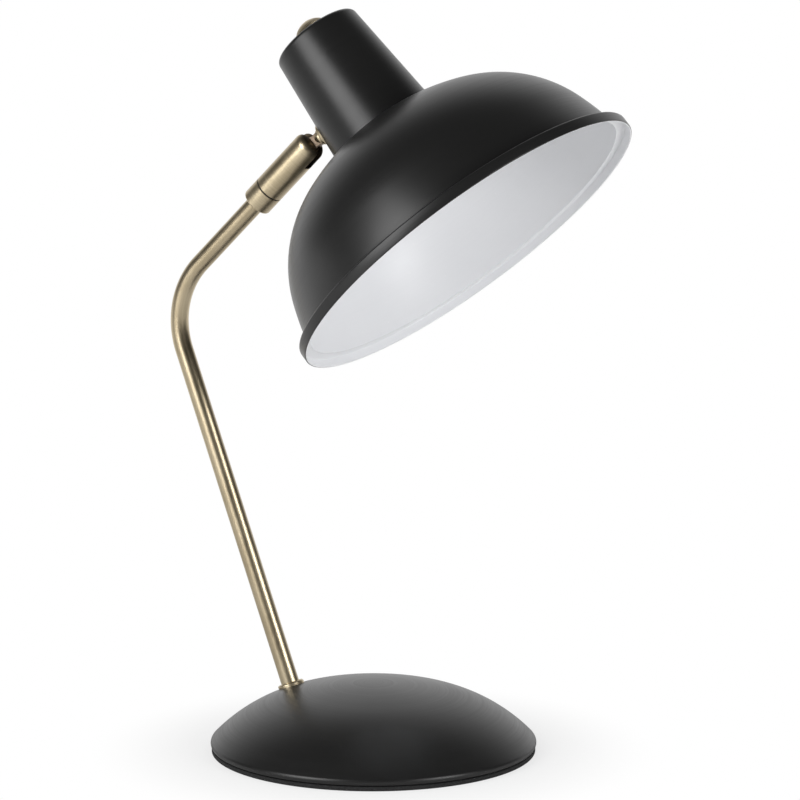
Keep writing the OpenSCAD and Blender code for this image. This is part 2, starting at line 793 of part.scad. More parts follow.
// Ring nut that clamps the shade and the neck from below
module shade_ring() {
    z0 = crown_z + shade_wall;
    color(plastic) at_head() difference() {
        union() {
            rod(ring_r, crown_z, z0 + ring_skirt + ring_flange_t);
            rod(holder_r + ring_wall, z0, z0 + ring_skirt + ring_collar_h);
        }
        rod(holder_r, 0, mouth_z + lap);
        rotate_extrude() over_shade();
    }
}

// Half section of the space over the inside of the shade's crown
module over_shade() {
    difference() {
        translate([0, neck_top]) square([far / 2, ledge_z - neck_top]);
        shade_section(shade_wall);
    }
}

module bushing_nut() {
    color(steel) at_head() difference() {
        hex(thin_nut_flats * bushing_d, neck_top - thin_nut_h, neck_top);
        rod(bushing_r, neck_top - 2 * thin_nut_h, neck_top + lap);
    }
}

module switch_shaft() {
    color(brass) at_head() rod(shaft_r, shaft_end, cap_z - 2 * lap);
}

// Turned knob with a reeded side and a domed top, hollow underneath over the nut
module switch_knob() {
    crown_r = (knob_r - knob_step) ^ 2 / (2 * knob_crown_h) + knob_crown_h / 2;
    color(brass) at_head() difference() {
        union() {
            translate([0, 0, knob_edge]) linear_extrude(knob_side_h) polygon([
                for (i = [0:2 * knob_reeds - 1])
                    (knob_r - (i % 2) * reed_depth) * slope_dir(i * 180 / knob_reeds)
            ]);
            rotate_extrude() intersection() {
                translate([0, knob_top + crown_r]) circle(crown_r);
                translate([0, knob_top]) square([knob_r - knob_step, knob_crown_h + lap / 2]);
            }
        }
        rod(knob_recess_r, knob_foot - knob_recess_h, knob_foot + lap);
        rod(shaft_r, shaft_end, knob_foot + lap);
    }
}

foot_pad();
base_weight();
base_dome();
clamp_stud();
stud_washer();
stud_nut();
cord_grommet();
arm_collar();
arm_tube();
arm_foot_washer();
arm_foot_nut();
arm_bush();
swivel_sleeve();
swivel_washer();
knuckle_fork();
swivel_nut();
swivel_stop_pin();
hinge_screw();
hinge_washers();
tilt_tongue();
rosette_washer();
saddle_washer();
tongue_nut();
neck_cup();
shade_dome();
lampholder_body();
holder_cap();
screw_shell();
centre_contact();
shade_ring();
bushing_nut();
switch_shaft();
switch_knob();
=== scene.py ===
import json
import math

import bmesh
import bpy
from mathutils import Matrix, Vector, geometry


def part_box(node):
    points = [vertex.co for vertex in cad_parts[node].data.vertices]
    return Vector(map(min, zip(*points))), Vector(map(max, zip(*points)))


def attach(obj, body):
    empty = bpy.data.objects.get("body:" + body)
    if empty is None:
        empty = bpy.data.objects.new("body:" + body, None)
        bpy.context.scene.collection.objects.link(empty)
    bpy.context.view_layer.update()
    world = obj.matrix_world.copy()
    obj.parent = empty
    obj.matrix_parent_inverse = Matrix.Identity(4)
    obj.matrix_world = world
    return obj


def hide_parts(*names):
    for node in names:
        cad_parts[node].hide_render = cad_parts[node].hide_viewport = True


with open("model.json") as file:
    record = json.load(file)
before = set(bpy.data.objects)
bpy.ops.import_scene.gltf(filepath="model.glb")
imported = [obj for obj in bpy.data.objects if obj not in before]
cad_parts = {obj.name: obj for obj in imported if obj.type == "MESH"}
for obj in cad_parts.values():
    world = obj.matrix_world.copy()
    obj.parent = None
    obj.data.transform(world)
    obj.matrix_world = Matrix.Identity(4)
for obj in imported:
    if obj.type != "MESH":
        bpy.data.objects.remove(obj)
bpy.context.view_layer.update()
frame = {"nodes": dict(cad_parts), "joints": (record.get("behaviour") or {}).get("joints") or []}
joints = {joint["name"]: joint for joint in frame["joints"]}


# Base cover. A round shell spun from steel sheet, its edge rolled under to a narrow flange. It is
# powder coated black with a satin sheen that shows the spinning lines, and has one hole for the
# arm and one for the cord. Sizes are in millimetres, in the frame that each piece is made in.
MM = 0.001
BASE_R = round(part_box("base_dome")[1].x / MM, 1)
BASE_H = round(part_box("base_dome")[1].z / MM, 1)
COVER_WALL, COVER_FOOT, ROLL_R, FLANGE_IN = 1.5, 3.0, 2.5, 77.0
ROLL_Z = COVER_FOOT + 0.55 * ROLL_R
COVER_SLOPES = (0, 14, 45.5)
FOOT_X, TUBE_R = 50.0, 4.75
INLET_Z, INLET_R = 8.1, 4.4
ARM_HOLE_GAP = 0.2


class Value:
    """A shader socket. Arithmetic on it adds nodes, and node() adds any other node."""

    def __init__(self, tree, socket=None):
        self.tree, self.socket = tree, socket

    def node(self, kind, settings, inputs, output=0):
        made = self.tree.nodes.new(kind)
        for name, setting in settings.items():
            setattr(made, name, setting)
        for key, value in inputs.items():
            if isinstance(value, Value):
                self.tree.links.new(value.socket, made.inputs[key])
            else:
                made.inputs[key].default_value = value
        return Value(self.tree, made.outputs[output])

    def math(self, operation, first, second):
        return self.node("ShaderNodeMath", {"operation": operation}, {0: first, 1: second})

    def __add__(self, other):
        return self.math("ADD", self, other)

    def __radd__(self, other):
        return self.math("ADD", other, self)

    def __sub__(self, other):
        return self.math("SUBTRACT", self, other)

    def __rsub__(self, other):
        return self.math("SUBTRACT", other, self)

    def __mul__(self, other):
        return self.math("MULTIPLY", self, other)

    def scaled(self, x, y, z):
        return self.node("ShaderNodeVectorMath", {"operation": "MULTIPLY"}, {0: self, 1: (x, y, z)})

    def part(self, axis):
        return self.node("ShaderNodeSeparateXYZ", {}, {"Vector": self}, axis)

    def radius(self):
        return self.node("ShaderNodeVectorMath", {"operation": "LENGTH"}, {0: self.scaled(1, 1, 0)}, "Value")

    def rings(self, around, along):
        """A place that is the same all round the axis, so that noise there makes turning lines."""
        return self.node("ShaderNodeCombineXYZ", {}, {"X": self.radius() * around, "Y": self.part(2) * along})

    def noise(self, scale, detail=2.0, rough=0.5):
        return self.node("ShaderNodeTexNoise", {},
                         {"Vector": self, "Scale": scale, "Detail": detail, "Roughness": rough})

    def between(self, low, high):
        """0 at low and 1 at high, and eased in between."""
        return self.node("ShaderNodeMapRange", {"interpolation_type": "SMOOTHSTEP"},
                         {"Value": self, "From Min": low, "From Max": high})

    def blend(self, low, high):
        colours = {key: value if isinstance(value, Value) else (*value, 1.0)
                   for key, value in ((6, low), (7, high))}
        return self.node("ShaderNodeMix", {"data_type": "RGBA"}, {0: self, **colours}, 2)

    def bump(self, height_mm, under=None):
        inputs = {"Height": self, "Strength": 1.0, "Distance": height_mm * MM}
        if under is not None:
            inputs["Normal"] = under
        return self.node("ShaderNodeBump", {}, inputs)


def finish(name, paint):
    """A material. paint gets a piece's own place in millimetres and returns the shader's inputs."""
    made = bpy.data.materials.new(name)
    made.use_nodes = True
    tree = made.node_tree
    shader = tree.nodes["Principled BSDF"]
    spot = Value(tree).node("ShaderNodeAttribute", {"attribute_name": "spot"}, {}, "Vector")
    for key, value in paint(spot).items():
        if isinstance(value, Value):
            tree.links.new(value.socket, shader.inputs[key])
        else:
            shader.inputs[key].default_value = value
    return made


def powder(dark, light, rough, lines_mm=0.02):
    """Powder coat: faint turning lines under a fine orange peel, with a speck of dust here and there."""
    def paint(spot):
        lines = spot.rings(1.1, 1.1).noise(1.0, 3.0, 0.6)
        peel = spot.noise(1.4, 2.0, 0.5)
        cloud = spot.noise(0.035, 2.0)
        dust = spot.noise(0.55, 0.0).between(0.83, 0.87)
        return {
            "Base Color": (cloud * 0.5 + lines * 0.5 + dust * 1.5).blend(dark, light),
            "Roughness": rough - 0.06 + lines * 0.16 - cloud * 0.04,
            "Specular IOR Level": 0.45,
            "Normal": peel.bump(0.006, lines.bump(lines_mm)),
        }
    return paint


def arc(mid, radius, start, end, step=1.5):
    """Points on an arc, by the slope of its face: 0 looks up the axis and 90 away from it."""
    count = max(2, round(abs(end - start) / step))
    slopes = [math.radians(start + (end - start) * i / count) for i in range(count + 1)]
    return [(mid[0] + radius * math.sin(a), mid[1] + radius * math.cos(a)) for a in slopes]


def dome(width, depth, top, slopes, side_r, end):
    """Middles and radii of a dome's crown, shoulder and side, each arc tangent to the next."""
    a, b, c = (math.radians(slope) for slope in (*slopes[1:], end))
    w = width - side_r * (math.sin(c) - math.sin(b))
    h = depth - side_r * (math.cos(b) - math.cos(c))
    p, q = math.sin(a), math.sin(b) - math.sin(a)
    s, t = 1 - math.cos(a), math.cos(a) - math.cos(b)
    crown_r, shoulder_r = (w * t - q * h) / (p * t - q * s), (p * h - s * w) / (p * t - q * s)
    crown = Vector((0, top - crown_r))
    shoulder = crown + (crown_r - shoulder_r) * Vector((math.sin(a), math.cos(a)))
    side = shoulder + (shoulder_r - side_r) * Vector((math.sin(b), math.cos(b)))
    return [(crown, crown_r), (shoulder, shoulder_r), (side, side_r)]


def dome_line(arcs, slopes, inset=0.0):
    """Points down a dome's outline from next to its axis, drawn in by inset."""
    line = []
    for (mid, radius), start, end in zip(arcs, slopes, slopes[1:]):
        line += arc(mid, radius - inset, start, end)[1:]
    return line


def turned(*lines, steps=128):
    """Spins lines of (radius, height) points round the axis. Each line has a finish of its own."""
    bm = bmesh.new()
    for index, line in enumerate(lines):
        made = len(bm.faces)
        verts = [bm.verts.new((r, 0, z)) for r, z in line]
        edges = [bm.edges.new(pair) for pair in zip(verts, verts[1:])]
        bmesh.ops.spin(bm, geom=verts + edges, cent=(0, 0, 0), axis=(0, 0, 1), angle=math.tau,
                       steps=steps, use_merge=True)
        bm.faces.ensure_lookup_table()
        for face in bm.faces[made:]:
            face.material_index = index
    return sealed(bm)


def sealed(bm):
    bmesh.ops.remove_doubles(bm, verts=bm.verts, dist=1e-4)
    bmesh.ops.recalc_face_normals(bm, faces=bm.faces)
    return bm


def pin_shape(radius, low, high, way=Matrix.Identity(4)):
    """A plain round bar, used to drill holes."""
    bm = bmesh.new()
    bmesh.ops.create_cone(bm, cap_ends=True, segments=96, radius1=radius, radius2=radius,
                          depth=high - low, matrix=way @ Matrix.Translation((0, 0, (low + high) / 2)))
    return bm


def cut(bm, *tools):
    """The mesh less each of the tools."""
    made = []
    for source in (bm, *tools):
        mesh = bpy.data.meshes.new("blank")
        source.to_mesh(mesh)
        source.free()
        made.append(bpy.data.objects.new("blank", mesh))
        bpy.context.scene.collection.objects.link(made[-1])
    for tool in made[1:]:
        step = made[0].modifiers.new("cut", "BOOLEAN")
        step.object, step.operation, step.solver = tool, "DIFFERENCE", "EXACT"
    bpy.context.view_layer.update()
    result = bmesh.new()
    result.from_object(made[0], bpy.context.evaluated_depsgraph_get())
    for blank in made:
        bpy.data.objects.remove(blank)
    return sealed(result)


def stand(place, up):
    """A frame at a place, whose height runs along up and whose Y is the lamp's own."""
    up, side = Vector(up).normalized(), Vector((0, 1, 0))
    return Matrix.Translation(place) @ Matrix((side.cross(up), side, up)).transposed().to_4x4()


def set_in(name, bm, way, finishes, body, slot, *stands_for, crease=35, unbent=None):
    """Sets a mesh made in millimetres into the lamp, riding on a body, in place of CAD nodes."""
    mesh = bpy.data.meshes.new(name)
    bm.to_mesh(mesh)
    bm.free()
    spot = mesh.attributes.new("spot", "FLOAT_VECTOR", "POINT")
    places = [unbent(v.co) if unbent else v.co for v in mesh.vertices]
    spot.data.foreach_set("vector", [x for place in places for x in place])
    mesh.transform(way @ Matrix.Scale(MM, 4))
    mesh.shade_smooth()
    mesh.set_sharp_from_angle(angle=math.radians(crease))
    for material in finishes:
        mesh.materials.append(material)
    piece = bpy.data.objects.new(name, mesh)
    bpy.context.scene.collection.objects.link(piece)
    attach(piece, body)
    if stands_for:
        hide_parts(*stands_for)


coat_black = finish("coat_black", powder((0.0085, 0.0085, 0.0085), (0.0135, 0.0134, 0.0132), 0.34))
cover_arcs = dome(BASE_R, BASE_H - ROLL_Z, BASE_H, COVER_SLOPES, ROLL_R, 90)
roll_end = 180 - math.degrees(math.acos((ROLL_Z - COVER_FOOT) / ROLL_R))
outside = [(0, BASE_H)] + dome_line(cover_arcs, (*COVER_SLOPES, roll_end))
inside = dome_line(cover_arcs, (*COVER_SLOPES, 90), COVER_WALL)
flange = [(FLANGE_IN, COVER_FOOT), (FLANGE_IN, COVER_FOOT + COVER_WALL)]
cover_line = outside + flange + inside[::-1] + [(0, BASE_H - COVER_WALL)]


def cover_height(radius):
    """Height of the cover's shoulder, where the arm stands."""
    mid, r = cover_arcs[1]
    return mid[1] + math.sqrt(r ** 2 - (radius - mid[0]) ** 2)


arm_foot = Vector((-FOOT_X, 0, cover_height(FOOT_X))) * MM
pin = Vector(joints["head_tilt"]["pos_m"])
upper_way = Vector(joints["head_swivel"]["axis"]).normalized()
LEAN = 20.5
lower_way = Vector((-math.sin(math.radians(LEAN)), 0, math.cos(math.radians(LEAN))))
at_foot = stand(arm_foot, lower_way)
arm_hole = Matrix.Translation(arm_foot / MM) @ at_foot.to_3x3().to_4x4()
inlet = stand((-BASE_R, 0, INLET_Z), (1, 0, 0))
set_in("base_cover", cut(turned(cover_line, steps=256), pin_shape(TUBE_R + ARM_HOLE_GAP, -12, 12, arm_hole),
                         pin_shape(INLET_R, -5, 20, inlet)),
       Matrix.Identity(4), [coat_black], "root", "black_coat", "base_dome")


# Foot pad. A disc of dense black foam glued under the cast weight, whose dark rim shows in the
# groove between pad and cover. Its cut edge is open-celled and a little rough.
PAD_R, PAD_H, PAD_EDGE = BASE_R - 0.5, 2.2, 0.35


def foam(spot):
    cells = spot.noise(1.7, 3.0, 0.7)
    return {"Base Color": cells.between(0.35, 0.7).blend((0.006, 0.006, 0.006), (0.03, 0.03, 0.031)),
            "Roughness": 0.8 + cells * 0.2, "Normal": cells.bump(0.25)}


black_foam = finish("foam_black", foam)
pad_line = ([(0, PAD_H)] + arc((PAD_R - PAD_EDGE, PAD_H - PAD_EDGE), PAD_EDGE, 0, 90, 20)
            + arc((PAD_R - PAD_EDGE, PAD_EDGE), PAD_EDGE, 90, 180, 20) + [(0, 0)])
set_in("foot_foam", turned(pad_line, steps=256), Matrix.Identity(4), [black_foam], "root", "black_foam",
       "foot_pad")


# Weight and its fixings. A cast iron disc with a cast skin, and the zinc plated stud, washers and
# nuts that hold the cover and the arm. Only the weight's rim shows, in the groove.
def carried(material, *nodes):
    """CAD nodes that stay as they are, with a finish of their own."""
    for node in nodes:
        frame["nodes"][node].data.materials.clear()
        frame["nodes"][node].data.materials.append(material)


def plain(name, paint):
    """A finish for CAD nodes, that reads their Object coordinates in millimetres."""
    def on_object(spot):
        place = spot.node("ShaderNodeTexCoord", {}, {}, "Object")
        return paint(place.scaled(1 / MM, 1 / MM, 1 / MM))
    return finish(name, on_object)


def cast_iron(spot):
    skin = spot.noise(0.9, 4.0, 0.7)
    return {"Base Color": skin.blend((0.012, 0.012, 0.012), (0.05, 0.05, 0.052)),
            "Roughness": 0.55 + skin * 0.35, "Metallic": 0.4, "Normal": skin.bump(0.25)}


def zinc(spot):
    grain = spot.noise(1.3, 3.0, 0.6)
    return {"Base Color": grain.blend((0.40, 0.41, 0.43), (0.60, 0.61, 0.62)),
            "Roughness": 0.24 + grain * 0.2, "Metallic": 1.0, "Normal": grain.bump(0.01)}


iron = plain("iron_cast", cast_iron)
plated = plain("steel_zinc", zinc)
carried(iron, "base_weight")
carried(plated, "clamp_stud", "stud_washer", "stud_nut", "arm_foot_washer", "arm_foot_nut")


# Cord inlet. A moulded rubber bushing in the rear of the cover, flush but for a low flange, with
# the bore that the cord goes in by.
def moulded_rubber(spot):
    grain = spot.noise(2.2, 2.0)
    return {"Base Color": grain.blend((0.010, 0.010, 0.010), (0.020, 0.020, 0.021)),
            "Roughness": 0.5 + grain * 0.25, "Normal": grain.bump(0.02)}


rubber = plain("rubber_black", moulded_rubber)
carried(rubber, "cord_grommet")


# Arm ring. A small turned brass ring with a rounded edge, slipped over the arm and hollowed
# underneath to sit on the cover's curve.
RING_R, RING_H, RING_EDGE = 6.9, 1.7, 1.0


def brass(lines, rough=0.30, dark=(0.41, 0.33, 0.205), light=(0.66, 0.565, 0.395)):
    """Antique brass with fine brush lines and patches of darker tone. lines gives the lines' noise."""
    def paint(spot):
        scratch = lines(spot)
        tone = spot.scaled(0.12, 0.12, 0.04).noise(1.0, 3.0, 0.55).between(0.3, 0.7)
        return {"Base Color": (tone * 0.45 + scratch * 0.75).blend(dark, light),
                "Roughness": rough - 0.04 + scratch * 0.12 + tone * 0.05, "Metallic": 1.0,
                "Normal": scratch.bump(0.001)}
    return paint


def round_lines(spot):
    return spot.rings(1.6, 1.6).noise(1.0, 2.0, 0.6)


def long_lines(spot):
    return spot.scaled(0.9, 0.9, 0.01).noise(1.0, 1.0, 0.5)


brass_turned = finish("brass_turned", brass(round_lines))
ring_line = ([(TUBE_R + 0.1, -1), (TUBE_R + 0.1, RING_H - 0.2), (TUBE_R + 0.3, RING_H)]
             + arc((RING_R - RING_EDGE, RING_H - RING_EDGE), RING_EDGE, 0, 90, 10)
             + [(RING_R, -1), (TUBE_R + 0.1, -1)])
arm_ring = turned(ring_line)
for vert in arm_ring.verts:
    if vert.co.z < 0:
        over = at_foot @ (vert.co * MM)
        over.z = cover_height(math.hypot(over.x, over.y) / MM) * MM
        vert.co = (at_foot.inverted() @ over) / MM
set_in("arm_ring", arm_ring, at_foot, [brass_turned], "root", "aged_brass", "arm_collar")


# Arm. One brass tube, bent once, its brush lines running along it. Its lower end goes through the
# cover to the nut under it, and its upper end carries the swivel's sleeve.
TUBE_BORE, BEND_R, TAIL, SLEEVE_FOOT = 3.75, 43.0, 12.7, -41.7
corner = geometry.intersect_line_line(arm_foot, arm_foot + lower_way, pin, pin - upper_way)[0]
BEND_TURN = lower_way.angle(upper_way)
bend_reach = BEND_R * math.tan(BEND_TURN / 2)
lower_end = (corner - arm_foot).length / MM - bend_reach
upper_len = (pin - corner).length / MM - bend_reach + SLEEVE_FOOT + 4


def sweep(bm, edges, steps, angle=0.0, ahead=(0, 0, 0)):
    """Carries rings of edges on, round the bend's middle or ahead, and returns the last ones."""
    made = bmesh.ops.spin(bm, geom=edges, cent=(BEND_R, 0, lower_end), axis=(0, 1, 0),
                          dvec=Vector(ahead) / steps, angle=angle, steps=steps)
    return [part for part in made["geom_last"] if isinstance(part, bmesh.types.BMEdge)]


def straightened(co):
    """A point's place along the tube and round it, as if the tube were straight."""
    out = Vector(co) - Vector((BEND_R, 0, lower_end))
    turn = min(max(math.atan2(out.z, -out.x), 0), BEND_TURN)
    back = Matrix.Rotation(-turn, 3, "Y") @ out
    return back.x + BEND_R, back.y, back.z + lower_end + BEND_R * turn


tube = bmesh.new()
for radius in (TUBE_R, TUBE_BORE):
    bmesh.ops.create_circle(tube, segments=96, radius=radius, matrix=Matrix.Translation((0, 0, -TAIL)))
tube_foot = list(tube.edges)
tube_end = sweep(tube, tube_foot, 24, ahead=(0, 0, lower_end + TAIL))
tube_end = sweep(tube, tube_end, 48, angle=BEND_TURN)
upper_local = at_foot.to_3x3().inverted() @ upper_way
tube_end = sweep(tube, tube_end, 8, ahead=upper_local * upper_len)
for open_end in (tube_foot, tube_end):
    bmesh.ops.bridge_loops(tube, edges=open_end)
brass_drawn = finish("brass_drawn", brass(long_lines, 0.28))
set_in("arm_pipe", sealed(tube), at_foot, [brass_drawn], "root", "aged_brass", "arm_tube",
       unbent=straightened)


# Swivel sleeve. A turned brass barrel on the end of the arm, whose web carries the knuckle's
# spigot. The bush that it screws onto, the nut and the fibre washer in the seam are CAD nodes.
KNUCKLE_R, SEAM_Z, SLEEVE_TOP, WEB_Z, SLEEVE_BORE = 8.0, -30.7, -31.1, -34.3, 6.6
SPIGOT_R, CHAMFER, SLEEVE_EDGE = 4.2, 0.25, 1
at_pin = stand(pin, upper_way)
spigot_hole = SPIGOT_R + 0.05
sleeve_line = ([(spigot_hole, WEB_Z), (spigot_hole, SLEEVE_TOP), (KNUCKLE_R - CHAMFER, SLEEVE_TOP),
                (KNUCKLE_R, SLEEVE_TOP - CHAMFER)]
               + arc((KNUCKLE_R - SLEEVE_EDGE, SLEEVE_FOOT + SLEEVE_EDGE), SLEEVE_EDGE, 90, 180, 10)
               + [(SLEEVE_BORE, SLEEVE_FOOT), (SLEEVE_BORE, WEB_Z), (spigot_hole, WEB_Z)])
set_in("swivel_barrel", turned(sleeve_line), at_pin, [brass_turned], "root", "aged_brass", "swivel_sleeve")
brass_plain = plain("brass_plain", brass(lambda spot: spot.noise(1.2, 4.0, 0.7)))
carried(brass_plain, "arm_bush", "swivel_nut")
carried(rubber, "swivel_washer")
carried(plated, "swivel_stop_pin")


# Knuckle. A brass bar turned to a rounded end, slotted for the tongue and drilled across for the
# hinge screw, which goes in from the far cheek and ends blind in the near one. The slot's walls and
# floor are painted near black as painted shade, and the rounded end is painted dark as a painted
# reflection of the black neck and shade.
END_Z, END_R, SLOT_W, SLOT_FLOOR, SPIGOT_END, WIRE_R = 6.8, 5.0, 6.0, -6.0, -37.15, 2.6
PIN_R, HEAD_R, HEAD_FOOT, HEAD_TOP, BLIND_END = 2.0, 3.4, 5.4, 7.4, -6.6
# Heights between which the knuckle's end is painted dark, as a painted reflection.
PAINTED_REFLECTION_FROM, PAINTED_REFLECTION_TO = 3.2, 6.0
FACING, NEAR = 0.95, 0.05


def block(low, high):
    """A plain box, used to saw slots."""
    bm = bmesh.new()
    low, high = Vector(low), Vector(high)
    bmesh.ops.create_cube(bm, size=1, matrix=Matrix.Translation((low + high) / 2)
                          @ Matrix.Diagonal((*(high - low), 1)))
    return bm


def eased(bm, width, least=40):
    """Breaks every edge that is sharper than the angle least."""
    bmesh.ops.dissolve_limit(bm, angle_limit=math.radians(0.4), verts=bm.verts, edges=bm.edges)
    sharp = [e for e in bm.edges if e.is_manifold and e.calc_face_angle(0) > math.radians(least)]
    bmesh.ops.bevel(bm, geom=sharp, offset=width, offset_type="OFFSET", affect="EDGES", segments=2,
                    profile=0.5, material=-1, clamp_overlap=False, loop_slide=True)
    return sealed(bm)


knuckle_line = ([(0, SLOT_FLOOR + 2), (WIRE_R, SLOT_FLOOR + 2), (WIRE_R, SPIGOT_END),
                 (SPIGOT_R, SPIGOT_END), (SPIGOT_R, SEAM_Z), (KNUCKLE_R - CHAMFER, SEAM_Z),
                 (KNUCKLE_R, SEAM_Z + CHAMFER)]
                + arc((KNUCKLE_R - END_R, END_Z - END_R), END_R, 90, 0, 6) + [(0, END_Z)])
across = Matrix.Rotation(-math.pi / 2, 4, "X")
knuckle = cut(turned(knuckle_line),
              block((-KNUCKLE_R - 1, -SLOT_W / 2, SLOT_FLOOR), (KNUCKLE_R + 1, SLOT_W / 2, END_Z + 1)),
              pin_shape(PIN_R + 0.02, BLIND_END, KNUCKLE_R + 1, across),
              pin_shape(HEAD_R + 0.1, HEAD_FOOT, KNUCKLE_R + 1, across))
# The slot's walls and floor take the second finish, a near-black brass that is painted shade.
for face in knuckle.faces:
    middle = face.calc_center_median()
    on_wall = abs(face.normal.y) > FACING and abs(middle.y) < SLOT_W / 2 + NEAR
    on_floor = face.normal.z > FACING and abs(middle.z - SLOT_FLOOR) < NEAR
    face.material_index = int(on_wall or on_floor)


def knuckle_brass_painted_reflection(spot):
    """Turned brass whose rounded end is painted dark: a painted reflection of the black neck and shade."""
    base, end = brass(round_lines)(spot), spot.part(2).between(PAINTED_REFLECTION_FROM, PAINTED_REFLECTION_TO)
    return {**base, "Base Color": end.blend(base["Base Color"], (0.10, 0.082, 0.06)),
            "Roughness": base["Roughness"] + end * 0.1}


# Near-black brass: painted shade inside the slot.
brass_painted_slot_shade = finish("brass_painted_slot_shade", brass(long_lines, 0.42, (0.045, 0.036, 0.026), (0.12, 0.095, 0.065)))
set_in("knuckle_body", knuckle, at_pin, [finish("brass_knuckle_painted_reflection", knuckle_brass_painted_reflection), brass_painted_slot_shade], "knuckle",
       "aged_brass", "knuckle_fork")


# Hinge screw. A brass cheese-head screw with one slot, sunk in the far cheek, and the two steel
# washers that give the hinge its friction.
SCREW_END, HEAD_EDGE, DRIVE_W, DRIVE_DEPTH = BLIND_END + 0.3, 0.4, 0.8, 0.8
screw_line = ([(0, SCREW_END), (PIN_R, SCREW_END), (PIN_R, HEAD_FOOT), (HEAD_R, HEAD_FOOT)]
              + arc((HEAD_R - HEAD_EDGE, HEAD_TOP - HEAD_EDGE), HEAD_EDGE, 90, 0, 20) + [(0, HEAD_TOP)])
slot = block((-KNUCKLE_R, -DRIVE_W / 2, HEAD_TOP - DRIVE_DEPTH), (KNUCKLE_R, DRIVE_W / 2, HEAD_TOP + 1))
set_in("hinge_pin_screw", cut(turned(screw_line), slot), at_pin @ across, [brass_turned], "knuckle",
       "aged_brass", "hinge_screw")
carried(plated, "hinge_washers")


# Tongue. A flat brass tongue with a round eye on the hinge screw, a round shoulder and a hollow
# stem that goes through the neck's wall. The wires leave the stem by a hole inside the slot.
EYE_R, TONGUE_W, TONGUE_LEN, SHOULDER_R, SHOULDER_H = 5.4, 5.0, 12.6, 4.5, 1.6
FLARE, WAIST, TONGUE_EASE = 4.1, 3.1, 0.4
STEM_R, STEM_BORE, STEM_STOP, WASHER_T = 3.8, 1.6, 20, 2.9
WIRE_HOLE_R, WIRE_HOLE_Z = 1.36, 0.8
NECK_TOP_R, NECK_FOOT_R, NECK_H, NECK_TOP = 23.6, 28.5, 57.5, 39.5
neck_rate = (NECK_FOOT_R - NECK_TOP_R) / NECK_H
neck_lean = math.atan(neck_rate)
shade_way = -Vector(joints["switch_turn"]["axis"]).normalized()
on_axis = Vector(joints["switch_turn"]["pos_m"])
head = on_axis + shade_way * (pin - on_axis).dot(shade_way)
at_head = stand(head, -shade_way)
tongue_way = (head - pin).normalized() * math.cos(neck_lean) + shade_way * math.sin(neck_lean)
at_tongue = stand(pin, tongue_way)
stem_end = (head - pin).length / MM - STEM_STOP

foot_angle = math.degrees(math.asin(FLARE / EYE_R))
foot_z = EYE_R * math.cos(math.radians(foot_angle))
waist_h = TONGUE_LEN - foot_z
waist_r = ((waist_h / 2) ** 2 + (FLARE - WAIST) ** 2) / (2 * (FLARE - WAIST))
waist_a = math.degrees(math.asin(waist_h / 2 / waist_r))
waist_z = foot_z + waist_h / 2
tongue_side = (arc((0, 0), EYE_R, foot_angle, 360 - foot_angle, 6)
               + arc((-WAIST - waist_r, waist_z), waist_r, 90 + waist_a, 90 - waist_a, 6)[1:]
               + arc((WAIST + waist_r, waist_z), waist_r, 270 + waist_a, 270 - waist_a, 6)[:-1])
tongue = bmesh.new()
side = tongue.faces.new([tongue.verts.new((x, -TONGUE_W / 2, z)) for x, z in tongue_side])
plate = bmesh.ops.extrude_face_region(tongue, geom=[side])["geom"]
far_side = [part for part in plate if isinstance(part, bmesh.types.BMVert)]
bmesh.ops.translate(tongue, verts=far_side, vec=(0, TONGUE_W, 0))
tongue = eased(sealed(tongue), TONGUE_EASE)
stem_line = ([(STEM_BORE, TONGUE_LEN - SHOULDER_H - 4), (STEM_BORE, stem_end), (STEM_R, stem_end),
              (STEM_R, TONGUE_LEN)]
             + arc((SHOULDER_R - 0.2, TONGUE_LEN - 0.2), 0.2, 0, 90, 30)
             + arc((SHOULDER_R - 0.4, TONGUE_LEN - SHOULDER_H + 0.4), 0.4, 90, 180, 20)
             + [(STEM_BORE, TONGUE_LEN - SHOULDER_H - 4)])
stem_bar = pin_shape(STEM_BORE, EYE_R - 0.5, stem_end + 1)
sideways = Matrix.Translation((0, 0, EYE_R + WIRE_HOLE_Z)) @ Matrix.Rotation(math.pi / 2, 4, "Y")
side_hole = pin_shape(WIRE_HOLE_R, 0, EYE_R, sideways)
tongue = cut(tongue, pin_shape(PIN_R + 0.05, -TONGUE_W, TONGUE_W, across), stem_bar, side_hole)
# A darker copy of the brass for the tongue, as painted shade.
brass_flat_shaded = finish("brass_flat_shaded", brass(long_lines, 0.45, (0.20, 0.15, 0.11), (0.36, 0.28, 0.21)))
set_in("tongue_plate", tongue, at_tongue, [brass_flat_shaded], "head", "aged_brass", "tilt_tongue")
set_in("tongue_stem", turned(stem_line), at_tongue, [brass_turned], "head", "aged_brass")


# Dished washer. A small domed brass washer that the tongue's shoulder pulls against the neck. Its
# underside is hollowed to the neck's curve. The saddle and the nut inside the neck are CAD nodes.
DISH_R, DISH_BALL = 7.0, 12.6
ball_z = TONGUE_LEN + math.sqrt(DISH_BALL ** 2 - SHOULDER_R ** 2)
rim_angle, top_angle = (180 - math.degrees(math.asin(r / DISH_BALL)) for r in (DISH_R - 0.2, SHOULDER_R))
wall_z = TONGUE_LEN + WASHER_T
dish_line = ([(STEM_R + 0.05, wall_z), (STEM_R + 0.05, TONGUE_LEN), (SHOULDER_R, TONGUE_LEN)]
             + arc((0, ball_z), DISH_BALL, top_angle, rim_angle, 3)[1:]
             + [(DISH_R, ball_z + DISH_BALL * math.cos(math.radians(rim_angle)) + 0.3), (DISH_R, wall_z),
                (STEM_R + 0.05, wall_z)])
dish = turned(dish_line, steps=96)
neck_curve = NECK_TOP_R + neck_rate * NECK_TOP
